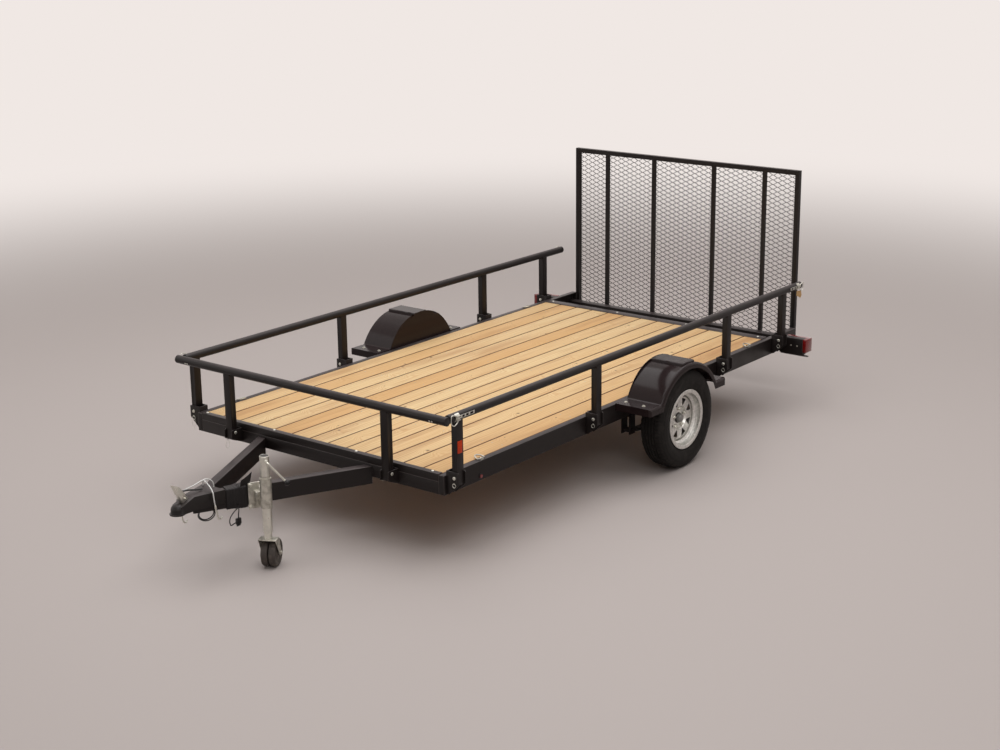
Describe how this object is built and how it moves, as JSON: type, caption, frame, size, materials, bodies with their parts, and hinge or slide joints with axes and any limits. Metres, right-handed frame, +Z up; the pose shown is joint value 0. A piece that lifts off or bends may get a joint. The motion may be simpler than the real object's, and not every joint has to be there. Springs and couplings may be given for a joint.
{
  "type": "utility trailer",
  "caption": "Open single-axle utility trailer with a board deck, folding top rails, moulded fenders, a swivel tongue jack and a mesh ramp gate",
  "frame": {"origin": "on the ground below the middle of the whole trailer", "axes": "the hitch points to -Y and the gate to +Y, the left side is +X, and +Z is up"},
  "size_m": [2.39, 4.861, 1.556],
  "materials": {
    "frame_paint": "satin black powder coat",
    "coupler_paint": "satin black paint",
    "boards": "planed softwood boards, unpainted",
    "tyre_rubber": "black tyre rubber",
    "galvanised": "hot-dip galvanised steel",
    "zinc": "bright zinc plate",
    "fender_plastic": "moulded plastic, glossy black",
    "red_lens": "red lens plastic",
    "caster_rubber": "black rubber",
    "cable_cover": "steel cable in a clear plastic cover",
    "wire_cover": "black cable cover"
  },
  "bodies": {
    "frame": {"side_beam_left": "frame_paint", "side_beam_right": "frame_paint", "front_channel": "frame_paint", "front_angle": "frame_paint", "rear_angle": "frame_paint", "crossmembers": "frame_paint", "rear_bar": "frame_paint", "deck_boards": "boards", "tongue_arm_left": "frame_paint", "tongue_arm_right": "frame_paint", "coupler": "coupler_paint", "coupler_lever": "zinc", "axle": "frame_paint", "leaf_springs": "frame_paint", "spring_hangers": "frame_paint", "axle_clamps": "frame_paint", "fender_left": "fender_plastic", "fender_right": "fender_plastic", "side_brackets": "frame_paint", "front_brackets": "frame_paint", "pivot_bolts": "zinc", "lock_pins": "zinc", "gate_lugs": "frame_paint", "tail_lamp_boxes": "frame_paint", "tail_lamp_lenses": "red_lens", "side_markers": "red_lens", "tie_downs": "frame_paint", "jack_mount": "zinc", "cable_coil": "wire_cover", "cable_far": "cable_cover", "cable_hooks": "zinc", "cable_near": "cable_cover", "wiring_lead": "wire_cover", "wiring_loop": "wire_cover", "wiring_plug": "wire_cover", "wiring_sleeve": "wire_cover"},
    "wheel_left": {"tyre_left": "tyre_rubber", "rim_left": "galvanised", "hub_left": "zinc"},
    "wheel_right": {"tyre_right": "tyre_rubber", "rim_right": "galvanised", "hub_right": "zinc"},
    "rail_left": {"side_posts_left": "frame_paint", "side_rail_left": "frame_paint", "latches_left": "zinc"},
    "rail_right": {"side_posts_right": "frame_paint", "side_rail_right": "frame_paint", "latches_right": "zinc"},
    "rail_front": {"front_posts": "frame_paint", "front_rail": "frame_paint"},
    "gate": {"gate_frame": "frame_paint", "gate_mesh": "frame_paint"},
    "jack": {"jack_swivel": "zinc", "jack_tube": "zinc", "jack_crank": "zinc", "jack_leg": "zinc"},
    "caster": {"caster_fork": "zinc"},
    "caster_pair": {"caster_wheels": "caster_rubber"}
  },
  "joints": [
    {"name": "wheel_left_turn", "type": "hinge", "parent": "frame", "child": "wheel_left", "pos_m": [1.101, 0.63258, 0.305], "axis": [1, 0, 0], "continuous": true},
    {"name": "wheel_right_turn", "type": "hinge", "parent": "frame", "child": "wheel_right", "pos_m": [-1.101, 0.63258, 0.305], "axis": [1, 0, 0], "continuous": true},
    {"name": "rail_left_fold", "type": "hinge", "parent": "frame", "child": "rail_left", "pos_m": [1.001, -0.07742, 0.463], "axis": [0, 1, 0], "range_deg": [0, 90]},
    {"name": "rail_right_fold", "type": "hinge", "parent": "frame", "child": "rail_right", "pos_m": [-1.001, -0.07742, 0.463], "axis": [0, -1, 0], "range_deg": [0, 90]},
    {"name": "rail_front_fold", "type": "hinge", "parent": "frame", "child": "rail_front", "pos_m": [0, -1.4405, 0.432], "axis": [1, 0, 0], "range_deg": [0, 86]},
    {"name": "gate_fold", "type": "hinge", "parent": "frame", "child": "gate", "pos_m": [0, 2.4145, 0.378], "axis": [-1, 0, 0], "range_deg": [0, 107.5]},
    {"name": "jack_swing", "type": "hinge", "parent": "frame", "child": "jack", "pos_m": [0.27444, -2.0225, 0.371], "axis": [0.8988, -0.4384, 0], "range_deg": [0, 90]},
    {"name": "caster_turn", "type": "hinge", "parent": "jack", "child": "caster", "pos_m": [0.27444, -2.0225, 0.152], "axis": [0, 0, 1], "continuous": true},
    {"name": "caster_roll", "type": "hinge", "parent": "caster", "child": "caster_pair", "pos_m": [0.25566, -1.98718, 0.076], "axis": [0.8829, 0.4695, 0], "continuous": true}
  ]
}
